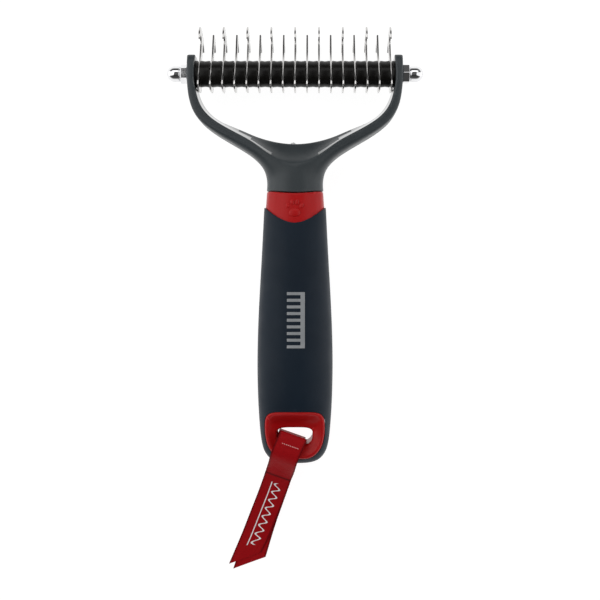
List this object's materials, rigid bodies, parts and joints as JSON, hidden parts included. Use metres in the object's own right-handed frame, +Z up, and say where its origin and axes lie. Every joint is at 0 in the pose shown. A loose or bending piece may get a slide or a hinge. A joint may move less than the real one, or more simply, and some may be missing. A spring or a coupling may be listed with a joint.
{
  "type": "undercoat rake",
  "caption": "Double-sided undercoat rake with hooked steel blades and spacers clamped on a shaft in a Y-shaped yoke, a soft-grip handle, and a ribbon tag in its hanging slot.",
  "frame": {"origin": "on the table under the middle of the whole object, with the rake lying on its back", "axes": "+X across the head to the right, +Y along the handle towards the blade tips, +Z up out of the front face"},
  "size_m": [0.1052, 0.2234, 0.0297],
  "materials": {
    "yoke_plastic": "satin moulded grey",
    "grip_rubber": "soft-touch navy",
    "red_plastic": "satin red",
    "blade_steel": "polished stainless",
    "shaft_steel": "plain",
    "nut_chrome": "polished",
    "spacer_plastic": "black satin",
    "ribbon_satin": "red satin"
  },
  "bodies": {
    "rake": {"yoke": "yoke_plastic", "handle_core": "red_plastic", "grip_sleeve": "grip_rubber", "blade_shaft": "shaft_steel", "dome_nut_left": "nut_chrome", "dome_nut_right": "nut_chrome", "end_spacer_left": "spacer_plastic", "end_spacer_right": "spacer_plastic", "ribbon_loop": "ribbon_satin", "blade_01": "blade_steel", "blade_02": "blade_steel", "blade_03": "blade_steel", "blade_04": "blade_steel", "blade_05": "blade_steel", "blade_06": "blade_steel", "blade_07": "blade_steel", "blade_08": "blade_steel", "blade_09": "blade_steel", "blade_10": "blade_steel", "blade_11": "blade_steel", "blade_12": "blade_steel", "blade_13": "blade_steel", "blade_14": "blade_steel", "blade_15": "blade_steel", "blade_16": "blade_steel", "blade_17": "blade_steel", "spacer_01": "spacer_plastic", "spacer_02": "spacer_plastic", "spacer_03": "spacer_plastic", "spacer_04": "spacer_plastic", "spacer_05": "spacer_plastic", "spacer_06": "spacer_plastic", "spacer_07": "spacer_plastic", "spacer_08": "spacer_plastic", "spacer_09": "spacer_plastic", "spacer_10": "spacer_plastic", "spacer_11": "spacer_plastic", "spacer_12": "spacer_plastic", "spacer_13": "spacer_plastic", "spacer_14": "spacer_plastic", "spacer_15": "spacer_plastic", "spacer_16": "spacer_plastic"},
    "ribbon_end": {"ribbon_tail": "ribbon_satin"}
  },
  "joints": [
    {"name": "ribbon_swing", "type": "hinge", "parent": "rake", "child": "ribbon_end", "pos_m": [-0.00773, -0.07399, 0.01007], "axis": [0.9406, -0.3396, 0], "range_deg": [-95, 85]}
  ]
}
